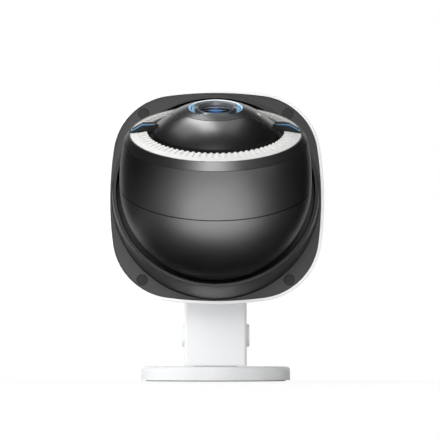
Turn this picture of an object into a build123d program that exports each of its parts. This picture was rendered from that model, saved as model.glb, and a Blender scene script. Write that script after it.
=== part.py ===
from build123d import *
import math
import os

os.makedirs("parts", exist_ok=True)

# Security camera on a folding desk or wall bracket. Millimetres, +Z up, the front faces -Y, +X is to
# the right as the viewer sees it, and the origin is the middle of the foot's underside.

# Foot
FOOT_R = 44.25
FOOT_TOP = 8.5
FOOT_EDGE_R = 1.8
PAD_STANDOFF = 0.6
PAD_T = 1.4
PAD_INSET = 2.75
WEIGHT_INSET = 8.25
WEIGHT_T = 3.6
WALL_SCREW_INSET = 13.25
WALL_SCREW_HOLE_R = 2.25
WALL_SCREW_HEAD_R = 4.2

# Folding hinge between foot and arm
HINGE_Z = 28.0
HINGE_BEHIND_ARM_FRONT = 13.5
KNUCKLE_R = 8.0
HINGE_BOLT_R = 3.0
HINGE_HEAD_R = 5.5
HINGE_HEAD_T = 2.0
HINGE_CAP_R = 7.0
HINGE_CAP_T = 1.9
HINGE_WASHER_T = 0.7

# Arm
ARM_W = 38.0
ARM_WALL = 5.0
ARM_ABOVE_FOOT = 0.6
ARM_TOP_BELOW_AXIS = 8.0
ARM_RIB_DEPTH = 6.0
ARM_COVER_T = 1.6
ARM_SCREW_INSET = 9.5
ARM_SCREW_R = 2.0

# Housing outline: four wide side arcs joined by four corner arcs
HOUSING_W = 125.2
HOUSING_ABOVE_TABLE = 43.8
HOUSING_DEPTH = 44.0
SIDE_ARC_R = 210.0
CORNER_ARC_R = 38.0
REAR_EDGE_R = 11.0
RIM_EDGE_R = 0.6
RIM_PROUD = 0.3
RIM_WALL = 1.7
SHELL_WALL = 3.2
SHELL_DRAFT_ANGLE = 4.5
REAR_WALL = 2.5
FASCIA_BEHIND_FOOT_AXIS = -31.5

# Fascia
FASCIA_T = 4.8
FASCIA_FLOOR_T = 1.2
FASCIA_CORNER_DROP_ANGLE = 4.0
PLUG_FROM_CORNER_X = 7.8
PLUG_FROM_CORNER_Z = 1.2
PLUG_R = 3.1
PLUG_T = 1.3
CASE_SCREW_R = 1.5
CASE_SCREW_HEAD_R = 2.8
CASE_SCREW_HEAD_T = 1.6
CASE_SCREW_LENGTH = 14.0
BOSS_R = 3.6
SEAL_T = 0.8

# Panning ring with its slanting collar
PAN_RING_MARGIN = 2.8
PAN_FLANGE_T = 2.9
PAN_LEDGE_W = 11.2
PAN_LEDGE_T = 2.0
PAN_LEDGE_SKIN = 0.5
PAN_RING_WALL = 2.6
COLLAR_TAPER = 3.5
COLLAR_LIP_WALL = 1.9
COLLAR_LOW_EDGE_BEHIND_HEAD_AXIS = 0.4
COLLAR_SIDE_EDGE_BEHIND_HEAD_AXIS = 17.2
GLIDE_T = 0.6
TRACK_LAP = 3.0
RETAINER_LAP = 3.2
RETAINER_T = 1.5
CUP_WALL = 1.6
CUP_GAP = 2.2
CUP_BOSS_R = 15.0
CUP_BOSS_T = 3.0

# Neck that carries the head inside the panning ring
NECK_R = 8.0
NECK_BORE_R = 4.5
NECK_FLANGE_R = 13.0
NECK_FLANGE_T = 2.0
HUB_R = 9.5
HUB_W = 22.0
AXLE_R = 3.0
AXLE_OVERHANG = 6.0

# Head, in its own frame: the lens looks along +Z, +Y is its upper side, the tilt axis is X
HEAD_SUNK = 14.8
HEAD_RAISED = 58.0
HEAD_COLLAR_GAP = 1.9
HEAD_WALL = 2.0
HEAD_SEAM_Z = 1.0
HEAD_SEAM_GAP = 0.5
BARREL_NARROWS = 3.1
BARREL_TOP_Z = 25.8
CHAMFER_W = 3.3
BEZEL_TOP_Z = 29.8
LEDGE_W = 3.4
CHASSIS_SCREW_INSET = 5.0
NECK_TILT_DOWN = 53.0
NECK_TILT_UP = 8.0
NECK_SLOT_MARGIN = 3.0
CHASSIS_Z = 18.0
CHASSIS_T = 2.0
CHASSIS_EAR_T = 3.0
CHASSIS_EAR_W = 20.0
BUSH_R = 4.5
TILT_MOTOR_R = 11.0
TILT_MOTOR_L = 17.0

# Ring light
LIGHT_EDGE = 0.2
LIGHT_W = 9.0
LIGHT_INNER_RISE = 1.4
LIGHT_T = 2.2
LED_COUNT = 26
LED_SIZE = 2.8
LED_HEIGHT = 0.8
LED_BOARD_T = 1.2

# Lens island: a shallow dome with a band across it
DOME_R = 46.0
TRENCH_W = 3.2
DOME_FOOT_Z = 31.5
DOME_WALL = 2.0
BAND_HALF_ANGLE = 14.7
BAND_LENS_MARGIN = 3.65
BAND_GAP = 0.15
SURROUND_W = 4.7
SURROUND_T = 2.4
LENS_BEZEL_W = 1.6
GLASS_R = 8.35
GLASS_SUNK = 4.5
GLASS_EDGE_T = 0.7
GLASS_CROWN = 0.8
LENS_BARREL_WALL = 2.0
LENS_BARREL_FLANGE_T = 1.5
LENS_BARREL_FLANGE_DROP = 4.5
ELEMENT_INSET = 0.75
ELEMENT_EDGE_T = 1.6
SENSOR_BOARD_T = 1.2
SENSOR_BOARD_MARGIN = 3.4
IMAGE_SENSOR_W = 8.4
IMAGE_SENSOR_H = 6.6
FACE_HOLE_X = 22.7
MIC_HOLE_R = 0.65
MIC_R = 2.2
MIC_T = 1.6
SENSOR_WINDOW_R = 1.4
WING_REACH_IN = 5.0
WING_KNEE_OUT = 2.2
WING_TIP_IN = 0.9
WING_KNEE_RISE = 4.4
WING_TIP_RISE = 1.1
WING_W = 5.4

# Inside the housing
PAN_MOTOR_R = 17.0
PAN_MOTOR_BACK_GAP = 3.5
PAN_SHAFT_R = 2.5
MOTOR_PLATE_T = 1.6
BOARD_MARGIN = 19.1
BOARD_CORNER_R = 5.0
BOARD_T = 1.6
BOARD_SCREW_INSET = 4.5
STANDOFF_R = 3.4
SLEEVE_L = 5.4
NECK_PLATE_GAP = 0.9
SPEAKER_R = 13.0
SPEAKER_T = 5.0
SPEAKER_TOWARDS_MOTOR = 4.8
SPEAKER_DROP = 6.0
GLAND_FROM_COLUMN_X = 7.0
GLAND_FROM_COLUMN_Y = 9.0
GLAND_R = 6.0

# Clearances
RUNNING = 0.3
SNUG = 0.1
BORE = 0.05
SCREW_BORE = 0.05

BOTTOM = (Align.CENTER, Align.CENTER, Align.MIN)
UPPER_HALF = (Align.CENTER, Align.MIN, Align.CENTER)
LOWER_HALF = (Align.CENTER, Align.MAX, Align.CENTER)
STANDING = (Align.CENTER, Align.MIN, Align.MIN)
FASCIA_Y = FASCIA_BEHIND_FOOT_AXIS
HOUSING_HALF = HOUSING_W / 2
HOUSING_Z = HOUSING_ABOVE_TABLE + HOUSING_HALF
PAD_R = FOOT_R - PAD_INSET
WEIGHT_R = FOOT_R - WEIGHT_INSET
WALL_SCREW_CIRCLE_R = FOOT_R - WALL_SCREW_INSET
ARM_FRONT_Y = FASCIA_Y + HOUSING_DEPTH
ARM_SCREW_X = ARM_W / 2 - ARM_SCREW_INSET
HINGE_Y = ARM_FRONT_Y + HINGE_BEHIND_ARM_FRONT
HINGE_GAP = HINGE_WASHER_T + SNUG
KNUCKLE_HALF = ARM_W / 2 - ARM_WALL - HINGE_GAP
SIDE_ARC_BELOW = SIDE_ARC_R - HOUSING_HALF
CORNER_REACH = SIDE_ARC_R - CORNER_ARC_R
CORNER_AT = (math.sqrt(2 * CORNER_REACH**2 - SIDE_ARC_BELOW**2) - SIDE_ARC_BELOW) / 2
CORNER_TIP = CORNER_AT + CORNER_ARC_R / math.sqrt(2)
PLUG_X = CORNER_TIP - PLUG_FROM_CORNER_X
PLUG_Z = CORNER_TIP - PLUG_FROM_CORNER_Z
FLOOR_TOP = -(FASCIA_T - FASCIA_FLOOR_T)
SHELL_LEDGE = -(FASCIA_T + SEAL_T)
REAR_INSIDE = -HOUSING_DEPTH + REAR_WALL
CUP_FLANGE_T = FASCIA_T + RUNNING - PAN_FLANGE_T
RAISED = math.radians(HEAD_RAISED)

# From the housing inwards: panning ring, collar, head, ring light, lens island, lens
PAN_RING_R = HOUSING_HALF - PAN_RING_MARGIN
COLLAR_BASE_R = PAN_RING_R - PAN_RING_WALL
COLLAR_LIP_R = COLLAR_BASE_R - COLLAR_TAPER
TRACK_INNER_R = COLLAR_BASE_R - TRACK_LAP
RETAINER_R = TRACK_INNER_R + RETAINER_LAP
PAN_LEDGE_R = COLLAR_BASE_R - PAN_LEDGE_W
HEAD_R = COLLAR_LIP_R - HEAD_COLLAR_GAP
HEAD_FORWARD = HEAD_R - HEAD_SUNK
COLLAR_LOW_EDGE = HEAD_FORWARD - COLLAR_LOW_EDGE_BEHIND_HEAD_AXIS
COLLAR_SIDE_EDGE = HEAD_FORWARD - COLLAR_SIDE_EDGE_BEHIND_HEAD_AXIS
BARREL_TOP_R = HEAD_R - BARREL_NARROWS
BEZEL_TOP_R = BARREL_TOP_R - CHAMFER_W
LIGHT_OUTER_R = BEZEL_TOP_R - LIGHT_EDGE
LIGHT_INNER_R = LIGHT_OUTER_R - LIGHT_W
CHASSIS_SCREW_CIRCLE_R = LIGHT_OUTER_R - CHASSIS_SCREW_INSET
WING_INNER_X = LIGHT_INNER_R - WING_REACH_IN
WING_KNEE_X = LIGHT_INNER_R + WING_KNEE_OUT
WING_TIP_X = LIGHT_OUTER_R - WING_TIP_IN
DOME_EDGE_R = LIGHT_INNER_R - TRENCH_W
DOME_CENTRE_Z = DOME_FOOT_Z - math.sqrt(DOME_R**2 - DOME_EDGE_R**2)
GLASS_Z = DOME_CENTRE_Z + DOME_R - GLASS_SUNK
BEZEL_LENS_R = GLASS_R + LENS_BEZEL_W
SURROUND_R = BEZEL_LENS_R + SURROUND_W
BAND_LENS_R = SURROUND_R + BAND_LENS_MARGIN
ELEMENT_R = GLASS_R - ELEMENT_INSET
LENS_BARREL_R = ELEMENT_R + LENS_BARREL_WALL

# Inside the housing, from the walls and from the neck's flange
BOARD_HALF = HOUSING_HALF - BOARD_MARGIN
BOARD_SCREW_X = BOARD_HALF - BOARD_SCREW_INSET
NECK_SEAT = -HEAD_SUNK - CUP_GAP - CUP_BOSS_T
MOTOR_PLATE_TOP = NECK_SEAT - NECK_FLANGE_T - NECK_PLATE_GAP
MOTOR_PLATE_LOW = MOTOR_PLATE_TOP - MOTOR_PLATE_T
BOARD_TOP = MOTOR_PLATE_LOW - SLEEVE_L
BOARD_LOW = BOARD_TOP - BOARD_T
PAN_MOTOR_LOW = REAR_INSIDE + PAN_MOTOR_BACK_GAP
SPEAKER_X = SPEAKER_TOWARDS_MOTOR - (HOUSING_HALF + PAN_MOTOR_R) / 2
GLAND_X = BOARD_SCREW_X - GLAND_FROM_COLUMN_X
GLAND_DROP = BOARD_SCREW_X - GLAND_FROM_COLUMN_Y

# The housing's frame has its origin in the middle of the fascia's front, Z forward and Y up
FRONT = Plane(origin=(0, FASCIA_Y, HOUSING_Z), x_dir=(1, 0, 0), z_dir=(0, -1, 0))
HEAD = Plane(
    origin=(0, FASCIA_Y - HEAD_FORWARD, HOUSING_Z),
    x_dir=(1, 0, 0),
    z_dir=(0, -math.cos(RAISED), math.sin(RAISED)),
)


def save(name, part, frame=Plane.XY):
    """Write one piece where it belongs in the assembled camera."""
    solids = part.solids()
    shape = solids[0] if len(solids) == 1 else Compound(children=[s for s in solids])
    export_step(frame.location * shape, "parts/" + name + ".step")


def disc(radius, low, high):
    """A cylinder on the Z axis between two heights."""
    return Pos(0, 0, low) * Cylinder(radius, high - low, align=BOTTOM)


def ring(inner, outer, low, high):
    """A flat ring on the Z axis."""
    return disc(outer, low, high) - disc(inner, low - 1, high + 1)


def turned(*lines):
    """A solid of revolution about Z from a closed outline of radius and height."""
    return revolve(Plane.XZ * make_face(Curve() + list(lines)), Axis.Z)


def turned_polygon(*corners):
    """A solid of revolution about Z whose outline has straight sides."""
    return revolve(Plane.XZ * make_face(Polyline(*corners, close=True)), Axis.Z)


def mirrored_spots(x, y):
    """Four places, mirrored left and right and up and down."""
    return [(sx * x, sy * y) for sx in (-1, 1) for sy in (-1, 1)]


def at_spots(part, spots):
    """Copies of one piece at several places in its own plane."""
    return [Pos(x, y, 0) * part for x, y in spots]


def screw(head_r, head_t, shank_r, length):
    """A screw that points down, its head's underside at height 0, with a cross recess."""
    body = disc(head_r, 0, head_t) + disc(shank_r, -length, 0)
    slot_l = head_r * 1.1
    slot_w = head_r * 0.28
    slot_d = head_t * 0.6
    cross = Box(slot_l, slot_w, slot_d * 2) + Box(slot_w, slot_l, slot_d * 2)
    return body - Pos(0, 0, head_t) * cross


def housing_outline(inset):
    """The rounded square of the housing, moved inwards by a wall or a clearance."""
    turn = math.atan2(CORNER_AT, CORNER_AT + SIDE_ARC_BELOW)
    side_r = SIDE_ARC_R - inset
    end_x = side_r * math.sin(turn)
    end_y = side_r * math.cos(turn) - SIDE_ARC_BELOW
    diagonal = CORNER_TIP - inset / math.sqrt(2)
    edges = []
    for quarter in range(4):
        turned_by = Rot(0, 0, 90 * quarter)
        edges.append(turned_by * ThreePointArc((-end_x, end_y), (0, HOUSING_HALF - inset), (end_x, end_y)))
        edges.append(turned_by * ThreePointArc((end_x, end_y), (diagonal, diagonal), (end_y, end_x)))
    return make_face(Curve() + edges)


def housing_slab(inset, low, high):
    """A slab with the housing's outline."""
    return Pos(0, 0, low) * extrude(housing_outline(inset), high - low)


def housing_body(inset, low, high):
    """A body with the housing's outline in front, narrowing towards the back by the mould's draft."""
    return Pos(0, 0, high) * extrude(housing_outline(inset), low - high, taper=SHELL_DRAFT_ANGLE)


# Foot


def wall_screw_spots():
    """Three wall screw holes: one in front, two beside the hinge."""
    angles = [math.radians(-90 + 120 * k) for k in range(3)]
    return [(WALL_SCREW_CIRCLE_R * math.cos(a), WALL_SCREW_CIRCLE_R * math.sin(a)) for a in angles]


def make_foot():
    """Die-cast disc with the hinge knuckle standing on it."""
    plate = fillet(disc(FOOT_R, PAD_STANDOFF, FOOT_TOP).edges().group_by(Axis.Z)[-1], FOOT_EDGE_R)
    plate -= disc(PAD_R + SNUG, PAD_STANDOFF - 1, PAD_T)
    plate -= disc(WEIGHT_R + SNUG, PAD_T, PAD_T + WEIGHT_T + SNUG)
    post_h = HINGE_Z - FOOT_TOP
    post = Pos(0, HINGE_Y, FOOT_TOP) * Box(2 * KNUCKLE_HALF, 2 * KNUCKLE_R, post_h, align=BOTTOM)
    knuckle = Pos(0, HINGE_Y, HINGE_Z) * Rot(0, 90, 0) * Cylinder(KNUCKLE_R, 2 * KNUCKLE_HALF)
    bore = Pos(0, HINGE_Y, HINGE_Z) * Rot(0, 90, 0) * Cylinder(HINGE_BOLT_R + BORE, ARM_W)
    foot = plate + post + knuckle - bore
    sink = WALL_SCREW_HEAD_R - WALL_SCREW_HOLE_R
    hole = disc(WALL_SCREW_HOLE_R, -1, FOOT_TOP + 1)
    hole += Pos(0, 0, FOOT_TOP - sink / 2) * Cone(WALL_SCREW_HOLE_R, WALL_SCREW_HEAD_R, sink)
    return foot - at_spots(hole, wall_screw_spots())


def make_foot_weight():
    """Steel disc that keeps the camera from tipping forward."""
    disc_weight = disc(WEIGHT_R, PAD_T, PAD_T + WEIGHT_T)
    hole = disc(WALL_SCREW_HOLE_R, 0, FOOT_TOP)
    return disc_weight - at_spots(hole, wall_screw_spots())


def make_foot_pad():
    """Rubber disc under the foot."""
    pad = disc(PAD_R, 0, PAD_T)
    hole = disc(WALL_SCREW_HOLE_R, -1, FOOT_TOP)
    return pad - at_spots(hole, wall_screw_spots())


# Hinge and arm


def on_hinge(part):
    """Turn a piece made on Z onto the hinge axis, which runs along X."""
    return Pos(0, HINGE_Y, HINGE_Z) * Rot(0, 90, 0) * part


def make_hinge_bolt():
    """Bolt through both cheeks of the arm and the foot's knuckle."""
    half = ARM_W / 2
    seat = half - HINGE_HEAD_T
    bolt = disc(HINGE_BOLT_R, -seat, seat) + disc(HINGE_HEAD_R, -half, -seat)
    socket = Pos(0, 0, -half) * extrude(RegularPolygon(HINGE_BOLT_R * 0.8, 6), HINGE_HEAD_T * 0.6)
    return on_hinge(bolt - socket)


def make_hinge_nut():
    """Nut on the bolt's right end, in its pocket in the cheek."""
    half = ARM_W / 2
    seat = half - HINGE_HEAD_T
    nut = Pos(0, 0, seat) * extrude(RegularPolygon(HINGE_HEAD_R, 6), HINGE_HEAD_T)
    return on_hinge(nut - disc(HINGE_BOLT_R - BORE, 0, half + 1))


def make_hinge_caps():
    """Round caps over the bolt's head and the nut, with a softened rim."""
    caps = []
    for side in (-1, 1):
        cap = disc(HINGE_CAP_R, 0, HINGE_CAP_T)
        cap = fillet(cap.edges().group_by(Axis.Z)[-1], HINGE_CAP_T * 0.35)
        turn = Rot(0, 90 * side, 0)
        caps.append(Pos(side * ARM_W / 2, HINGE_Y, HINGE_Z) * turn * cap)
    return Compound(children=caps)


def make_hinge_washers():
    """Friction washers between the knuckle and the cheeks."""
    washer = ring(HINGE_BOLT_R + BORE, KNUCKLE_R - SNUG, 0, HINGE_WASHER_T)
    left = on_hinge(Pos(0, 0, -KNUCKLE_HALF - HINGE_WASHER_T) * washer)
    right = on_hinge(Pos(0, 0, KNUCKLE_HALF) * washer)
    return Compound(children=[left, right])


ARM_TOP = HOUSING_Z - ARM_TOP_BELOW_AXIS
ARM_FOOT = FOOT_TOP + ARM_ABOVE_FOOT
CHANNEL_TOP = HINGE_Z + HINGE_BEHIND_ARM_FRONT + ARM_RIB_DEPTH
ARM_BACK_Y = ARM_FRONT_Y + ARM_WALL + ARM_RIB_DEPTH


def arm_screw_spots():
    """Arm screws as X and height."""
    heights = [HOUSING_Z - HOUSING_HALF * share for share in (0.38, 0.67)]
    return [(side * ARM_SCREW_X, z) for side in (-1, 1) for z in heights]


def make_arm():
    """Bent channel: a front wall, two cheeks at the hinge and two low ribs above them."""
    cheek_r = HINGE_BEHIND_ARM_FRONT
    slab_t = ARM_WALL + ARM_RIB_DEPTH
    slab_mid = ARM_FRONT_Y + slab_t / 2
    slab = Pos(0, slab_mid, ARM_FOOT) * Box(ARM_W, slab_t, ARM_TOP - ARM_FOOT, align=BOTTOM)
    corners = slab.edges().filter_by(Axis.Y).group_by(Axis.Z)[-1]
    slab = fillet(corners, ARM_W / 3)
    cheek = on_hinge(Cylinder(cheek_r, ARM_W))
    web_low = Pos(0, HINGE_Y - cheek_r / 2, ARM_FOOT) * Box(
        ARM_W, cheek_r, HINGE_Z - ARM_FOOT, align=BOTTOM
    )
    body = slab + cheek + web_low
    clip = Pos(0, HINGE_Y, ARM_FOOT - 1) * Box(
        2 * ARM_W, 2 * cheek_r, HINGE_Z - ARM_FOOT + 1, align=STANDING
    )
    body -= clip - on_hinge(Cylinder(cheek_r, ARM_W))
    inner_w = ARM_W - 2 * ARM_WALL
    pocket_y = HINGE_Y - KNUCKLE_R - RUNNING
    pocket = Pos(0, pocket_y, ARM_FOOT - 1) * Box(
        inner_w, 3 * cheek_r, CHANNEL_TOP - ARM_FOOT + 1, align=STANDING
    )
    body -= pocket
    groove = Pos(0, ARM_FRONT_Y + ARM_WALL, CHANNEL_TOP) * Box(
        inner_w,
        2 * ARM_RIB_DEPTH,
        ARM_TOP - ARM_WALL - CHANNEL_TOP,
        align=STANDING,
    )
    body -= groove
    front_edges = body.edges().filter_by(Axis.Z).group_by(Axis.Y)[0]
    body = fillet(front_edges, ARM_WALL * 0.4)
    body -= on_hinge(Cylinder(HINGE_BOLT_R + BORE, 2 * ARM_W))
    for side in (-1, 1):
        seat = Pos(side * (ARM_W / 2 - HINGE_HEAD_T / 2), HINGE_Y, HINGE_Z) * Rot(0, 90, 0)
        body -= seat * Cylinder(HINGE_HEAD_R + SNUG, HINGE_HEAD_T)
    for x, z in arm_screw_spots():
        body -= Pos(x, ARM_FRONT_Y, z) * Rot(90, 0, 0) * Cylinder(ARM_SCREW_R + SNUG, 4 * ARM_WALL)
    return body


def make_arm_cover():
    """Plate that closes the cable channel in the back of the arm."""
    inner_w = ARM_W - 2 * ARM_WALL - 2 * SNUG
    length = ARM_TOP - ARM_WALL - CHANNEL_TOP - 2 * SNUG
    y = ARM_BACK_Y - ARM_COVER_T
    cover = Pos(0, y, CHANNEL_TOP + SNUG) * Box(
        inner_w, ARM_COVER_T, length, align=STANDING
    )
    leg_y = ARM_FRONT_Y + ARM_WALL
    for low in (CHANNEL_TOP + SNUG, CHANNEL_TOP + SNUG + length - ARM_COVER_T):
        cover += Pos(0, leg_y, low) * Box(
            inner_w, y - leg_y, ARM_COVER_T, align=STANDING
        )
    return cover


def make_arm_screws():
    """Four screws from the arm's channel into the back of the shell."""
    screws = []
    for x, z in arm_screw_spots():
        place = Pos(x, ARM_FRONT_Y + ARM_WALL, z) * Rot(-90, 0, 0)
        screws.append(place * screw(ARM_SCREW_R * 1.8, ARM_SCREW_R, ARM_SCREW_R, ARM_WALL + REAR_WALL + 4))
    return Compound(children=screws)


# Housing, in the housing's frame


def case_screw_spots():
    """The fascia's four screws, under their plugs."""
    return mirrored_spots(PLUG_X, PLUG_Z)


def board_screw_spots():
    """The four columns that carry the main board and the motor plate."""
    return mirrored_spots(BOARD_SCREW_X, BOARD_SCREW_X)


def make_rear_shell():
    """White moulded cup with a thin rim, inner bosses, a sound grille and a cable inlet."""
    outer = housing_body(0, -HOUSING_DEPTH, RIM_PROUD)
    outer = fillet(outer.edges().group_by(Axis.Z)[0], REAR_EDGE_R)
    outer = fillet(outer.edges().group_by(Axis.Z)[-1], RIM_EDGE_R)
    cavity = housing_body(SHELL_WALL, REAR_INSIDE, 0)
    cavity = fillet(cavity.edges().group_by(Axis.Z)[0], REAR_EDGE_R - SHELL_WALL)
    shell = outer - cavity - housing_slab(RIM_WALL, SHELL_LEDGE, 2)
    boss_top = SHELL_LEDGE + SEAL_T
    boss = disc(BOSS_R, REAR_INSIDE - SNUG, boss_top)
    bore = disc(CASE_SCREW_R + SCREW_BORE, boss_top - CASE_SCREW_LENGTH, boss_top + 1)
    shell += [spot & outer for spot in at_spots(boss, case_screw_spots())]
    shell -= at_spots(bore, case_screw_spots())
    standoff = disc(STANDOFF_R, REAR_INSIDE - SNUG, BOARD_LOW)
    pilot = disc(CASE_SCREW_R + SCREW_BORE, REAR_INSIDE + 2, BOARD_LOW + 1)
    shell += at_spots(standoff, board_screw_spots())
    shell -= at_spots(pilot, board_screw_spots())
    for x, z in arm_screw_spots():
        y = z - HOUSING_Z
        shell += Pos(x, y, 0) * disc(ARM_SCREW_R * 2, REAR_INSIDE - SNUG, REAR_INSIDE + 4.5)
        shell -= Pos(x, y, 0) * disc(ARM_SCREW_R + SCREW_BORE, -HOUSING_DEPTH - 1, REAR_INSIDE + 4.2)
    for k in range(5):
        y = -SPEAKER_DROP + (k - 2) * 4.0
        slot = Pos(SPEAKER_X, y, -HOUSING_DEPTH) * Box(14.0, 1.4, 4 * REAR_WALL)
        shell -= slot
    inlet = Pos(GLAND_X, -GLAND_DROP, 0) * disc(GLAND_R + SNUG, -HOUSING_DEPTH - 1, REAR_INSIDE + 1)
    return shell - inlet


def make_fascia():
    """Dark front plate: four sloping corners round a recessed track for the panning ring."""
    corner_r = HOUSING_HALF * 1.25
    drop = (corner_r - PAN_RING_R) * math.tan(math.radians(FASCIA_CORNER_DROP_ANGLE))
    slope = turned_polygon(
        (0, -FASCIA_T), (corner_r, -FASCIA_T), (corner_r, -drop), (PAN_RING_R + RUNNING, 0), (0, 0)
    )
    plate = housing_slab(RIM_WALL + SNUG, -FASCIA_T, 1) & slope
    plate -= disc(PAN_RING_R + RUNNING, FLOOR_TOP, 1)
    plate -= disc(TRACK_INNER_R, -FASCIA_T - 1, 1)
    pocket = disc(PLUG_R + SNUG, -CASE_SCREW_HEAD_T - PLUG_T - SNUG - RUNNING, 1)
    through = disc(CASE_SCREW_R + SNUG, -FASCIA_T - 1, 1)
    plate -= at_spots(pocket, case_screw_spots())
    return plate - at_spots(through, case_screw_spots())


def make_case_screws():
    """Screws that hold the fascia to the shell."""
    seat = -CASE_SCREW_HEAD_T - PLUG_T - SNUG - RUNNING
    one = Pos(0, 0, seat) * screw(
        CASE_SCREW_HEAD_R, CASE_SCREW_HEAD_T, CASE_SCREW_R, CASE_SCREW_LENGTH + seat
    )
    return Compound(children=at_spots(one, case_screw_spots()))


def make_screw_plugs():
    """Push-in plugs over the four screws."""
    face = -RUNNING
    plug = disc(PLUG_R, face - PLUG_T, face)
    plug = fillet(plug.edges().group_by(Axis.Z)[-1], 0.2)
    return Compound(children=at_spots(plug, case_screw_spots()))


def make_case_seal():
    """Rubber seal between the fascia and the shell's ledge."""
    seal = housing_slab(RIM_WALL + SNUG, SHELL_LEDGE, -FASCIA_T)
    seal -= housing_slab(SHELL_WALL, SHELL_LEDGE - 1, 0)
    return seal - at_spots(disc(BOSS_R + SNUG, SHELL_LEDGE - 1, 0), case_screw_spots())


def make_main_board():
    """Circuit board on the shell's columns, open in the middle for the pan motor."""
    outline = RectangleRounded(2 * BOARD_HALF, 2 * BOARD_HALF, BOARD_CORNER_R)
    board = Pos(0, 0, BOARD_LOW) * extrude(outline, BOARD_T)
    board -= disc(PAN_MOTOR_R + 1.5, BOARD_LOW - 1, BOARD_TOP + 1)
    return board - at_spots(disc(CASE_SCREW_R + SNUG, BOARD_LOW - 1, 0), board_screw_spots())


def chip(across, up, width, height, thickness):
    """A block on the main board: place and size as shares of the board's half width."""
    body = Box(width * BOARD_HALF, height * BOARD_HALF, thickness * BOARD_T, align=BOTTOM)
    return Pos(across * BOARD_HALF, up * BOARD_HALF, BOARD_TOP) * body


def make_board_chips():
    """Processor, memory, radio, power stage and sockets on the main board."""
    processor = chip(0, 0.71, 0.32, 0.32, 0.9)
    memory = chip(0.46, 0.69, 0.23, 0.28, 0.7)
    radio = chip(-0.6, 0.55, 0.37, 0.28, 1.4)
    power = chip(0.64, -0.09, 0.21, 0.32, 1.6)
    socket = chip(0.14, -0.74, 0.41, 0.18, 1.9)
    return Compound(children=[processor, memory, radio, power, socket])


def make_board_sleeves():
    """Spacer sleeves between the main board and the motor plate."""
    sleeve = ring(CASE_SCREW_R + SNUG, STANDOFF_R, BOARD_TOP, MOTOR_PLATE_LOW)
    return Compound(children=at_spots(sleeve, board_screw_spots()))


def make_motor_plate():
    """Steel plate that carries the pan motor."""
    high = MOTOR_PLATE_TOP
    low = MOTOR_PLATE_LOW
    outline = RectangleRounded(2 * BOARD_HALF, 2 * BOARD_HALF, BOARD_CORNER_R)
    plate = Pos(0, 0, low) * extrude(outline, MOTOR_PLATE_T)
    window_x = (BOARD_HALF + PAN_MOTOR_R) / 2
    window_r = (BOARD_HALF - PAN_MOTOR_R) * 0.3
    for quarter in range(4):
        plate -= Rot(0, 0, 90 * quarter) * Pos(window_x, 0, 0) * disc(window_r, low - 1, high + 1)
    plate -= disc(PAN_SHAFT_R * 2, low - 1, high + 1)
    return plate - at_spots(disc(CASE_SCREW_R + SNUG, low - 1, high + 1), board_screw_spots())


def make_board_screws():
    """Long screws through motor plate, sleeves and board into the columns."""
    length = MOTOR_PLATE_TOP - REAR_INSIDE - 2.5
    one = Pos(0, 0, MOTOR_PLATE_TOP) * screw(
        CASE_SCREW_HEAD_R, CASE_SCREW_HEAD_T, CASE_SCREW_R, length
    )
    return Compound(children=at_spots(one, board_screw_spots()))


def make_pan_motor():
    """Geared pan motor behind its plate, with a locating rim."""
    can = disc(PAN_MOTOR_R, PAN_MOTOR_LOW, MOTOR_PLATE_LOW)
    can = fillet(can.edges().group_by(Axis.Z)[0], 1.5)
    can += disc(PAN_SHAFT_R * 2 - SNUG, MOTOR_PLATE_LOW, MOTOR_PLATE_TOP)
    return can - disc(PAN_SHAFT_R + BORE, PAN_MOTOR_LOW + 3, MOTOR_PLATE_TOP + 1)


def make_speaker():
    """Loudspeaker behind the grille slots."""
    base = REAR_INSIDE
    body = ring(SPEAKER_R - 4.0, SPEAKER_R, base, base + SPEAKER_T * 0.5)
    body += disc(SPEAKER_R, base + SPEAKER_T * 0.5, base + SPEAKER_T * 0.75)
    body += disc(SPEAKER_R * 0.6, base + SPEAKER_T * 0.75, base + SPEAKER_T)
    return Pos(SPEAKER_X, -SPEAKER_DROP, 0) * body


def make_cable_gland():
    """Rubber inlet for the supply lead, in the shell's back."""
    rear = -HOUSING_DEPTH
    body = disc(GLAND_R, rear, REAR_INSIDE) + disc(GLAND_R + 1.5, REAR_INSIDE, REAR_INSIDE + 1.5)
    return Pos(GLAND_X, -GLAND_DROP, 0) * (body - disc(2.0, rear - 1, REAR_INSIDE + 3))


def make_glide_ring():
    """Slippery ring in the fascia's track, under the panning ring."""
    return ring(TRACK_INNER_R + SNUG, PAN_RING_R - SNUG, FLOOR_TOP, FLOOR_TOP + GLIDE_T)


# Panning ring and neck, in the housing's frame


def collar_slope():
    """How much further forward the collar's edge lies for each millimetre down."""
    return (COLLAR_LOW_EDGE - COLLAR_SIDE_EDGE) / COLLAR_LIP_R


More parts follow.
